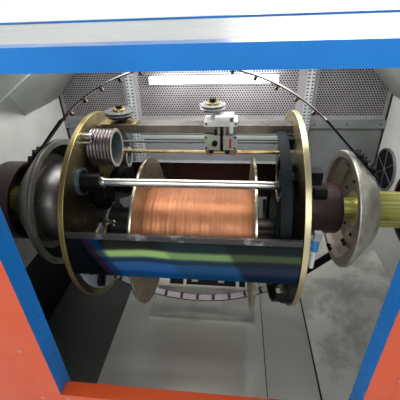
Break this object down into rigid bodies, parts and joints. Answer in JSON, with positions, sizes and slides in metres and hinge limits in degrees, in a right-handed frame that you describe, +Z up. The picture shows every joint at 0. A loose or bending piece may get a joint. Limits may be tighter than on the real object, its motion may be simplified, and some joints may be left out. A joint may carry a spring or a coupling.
{
  "type": "wire bunching machine",
  "caption": "Double-twist wire bunching machine: open-fronted cabinet with a rotor of two bows turning round a hanging cradle that holds a bobbin of copper wire.",
  "frame": {"origin": "on the floor under the middle of the machine", "axes": "+X along the rotor axis to the right, +Y to the back, +Z up; the open front faces -Y"},
  "size_m": [2.7, 1.32, 1.56],
  "materials": {
    "frame_paint": "gloss blue machine enamel",
    "panel_paint": "semi-gloss orange machine enamel",
    "lining_paint": "satin grey enamel on sheet steel",
    "tray_steel": "dark sheet steel, oily and scuffed",
    "table_steel": "lift table, bright rim on a dark plate",
    "hatch_paint": "white enamel on sheet steel",
    "dome_steel": "polished pressed cap",
    "guard_paint": "dark enamelled guard strip",
    "duct_plastic": "grey slotted cable duct",
    "feet_rubber": "black rubber under a steel disc",
    "bearing_paint": "cast iron in dark red-brown enamel",
    "fan_metal": "black enamelled grille",
    "lamp_plastic": "white diffuser",
    "dish_steel": "turned steel",
    "zinc_steel": "yellow zinc-plated steel",
    "bow_steel": "blued spring steel",
    "eyelet_brass": "brass with a ceramic lining",
    "rod_chrome": "hard-chromed rod",
    "trunnion_paint": "cast iron in dark brown enamel",
    "cover_paint": "gloss black enamel",
    "belt_rubber": "flat belt",
    "pulley_aluminium": "turned aluminium",
    "block_plastic": "black moulded housing",
    "cylinder_aluminium": "anodised tube with blue and white ends",
    "bobbin_steel": "steel bobbin, worn enamel",
    "copper": "bare copper wire, closely wound",
    "capstan_steel": "ground steel",
    "carriage_steel": "dark enamelled block"
  },
  "bodies": {
    "machine": {"base_frame": "frame_paint", "machine_feet": "feet_rubber", "frame_posts": "frame_paint", "top_rails": "frame_paint", "roof_panel": "panel_paint", "front_panels": "panel_paint", "front_sill_panel": "panel_paint", "end_panels": "panel_paint", "rear_outer_panels": "panel_paint", "end_walls": "lining_paint", "rear_lower_panels": "lining_paint", "rear_perforated_panels": "lining_paint", "seam_rail": "lining_paint", "cable_ducts": "duct_plastic", "hip_panels": "lining_paint", "floor_trays": "tray_steel", "lift_table": "table_steel", "rear_hatch": "hatch_paint", "shaft_bearings": "bearing_paint", "fan_grille": "fan_metal", "work_light": "lamp_plastic"},
    "rotor": {"rotor_dishes": "dish_steel", "rotor_shafts": "zinc_steel", "left_dome": "dome_steel", "rotor_bows": "bow_steel", "bow_shoes": "dish_steel", "bow_clamps": "zinc_steel", "bow_eyelets": "eyelet_brass"},
    "cradle": {"end_plates": "zinc_steel", "left_trunnion": "dish_steel", "right_trunnion": "trunnion_paint", "top_tie_bar": "zinc_steel", "tie_rods": "rod_chrome", "rod_drum": "block_plastic", "belt_guards": "guard_paint", "cradle_covers": "cover_paint", "pintle_housings": "trunnion_paint", "drive_belt": "belt_rubber", "capstan_axles": "rod_chrome", "traverse_rods": "eyelet_brass", "pulley_post": "zinc_steel", "sensor_blocks": "block_plastic", "air_cylinder": "cylinder_aluminium"},
    "bobbin_unit": {"bobbin": "bobbin_steel", "copper_winding": "copper", "bobbin_pintles": "rod_chrome", "bobbin_pulley": "pulley_aluminium"},
    "belt_pulley": {"drive_pulley": "pulley_aluminium"},
    "capstan_a": {"large_capstan": "capstan_steel"},
    "capstan_b": {"small_capstan": "capstan_steel"},
    "traverse": {"traverse_carriage": "carriage_steel"},
    "guide_a": {"right_guide_pulley": "pulley_aluminium"},
    "guide_b": {"left_guide_pulley": "pulley_aluminium"}
  },
  "joints": [
    {"name": "rotor_spin", "type": "hinge", "parent": "machine", "child": "rotor", "pos_m": [-0.06, 0, 0.85], "axis": [1, 0, 0], "continuous": true},
    {"name": "cradle_swing", "type": "hinge", "parent": "machine", "child": "cradle", "pos_m": [-0.06, 0, 0.85], "axis": [1, 0, 0], "continuous": true},
    {"name": "bobbin_spin", "type": "hinge", "parent": "cradle", "child": "bobbin_unit", "pos_m": [-0.038, 0, 0.711], "axis": [1, 0, 0], "continuous": true},
    {"name": "belt_pulley_spin", "type": "hinge", "parent": "cradle", "child": "belt_pulley", "pos_m": [0.291, -0.112, 1.046], "axis": [1, 0, 0], "continuous": true},
    {"name": "large_capstan_spin", "type": "hinge", "parent": "cradle", "child": "capstan_a", "pos_m": [-0.389, -0.06, 1.14], "axis": [1, 0, 0], "continuous": true},
    {"name": "small_capstan_spin", "type": "hinge", "parent": "cradle", "child": "capstan_b", "pos_m": [-0.38, 0.1, 1.028], "axis": [1, 0, 0], "continuous": true},
    {"name": "traverse_slide", "type": "slide", "parent": "cradle", "child": "traverse", "axis": [1, 0, 0], "range_m": [-0.25, 0.13]},
    {"name": "right_guide_spin", "type": "hinge", "parent": "traverse", "child": "guide_a", "pos_m": [0.022, 0.05, 1.271], "axis": [0, 0, 1], "continuous": true},
    {"name": "left_guide_spin", "type": "hinge", "parent": "cradle", "child": "guide_b", "pos_m": [-0.352, 0.05, 1.247], "axis": [0, 0, 1], "continuous": true}
  ],
  "couplings": [
    {"joint": "belt_pulley_spin", "follows": "bobbin_spin", "ratio": 2.7439}
  ]
}
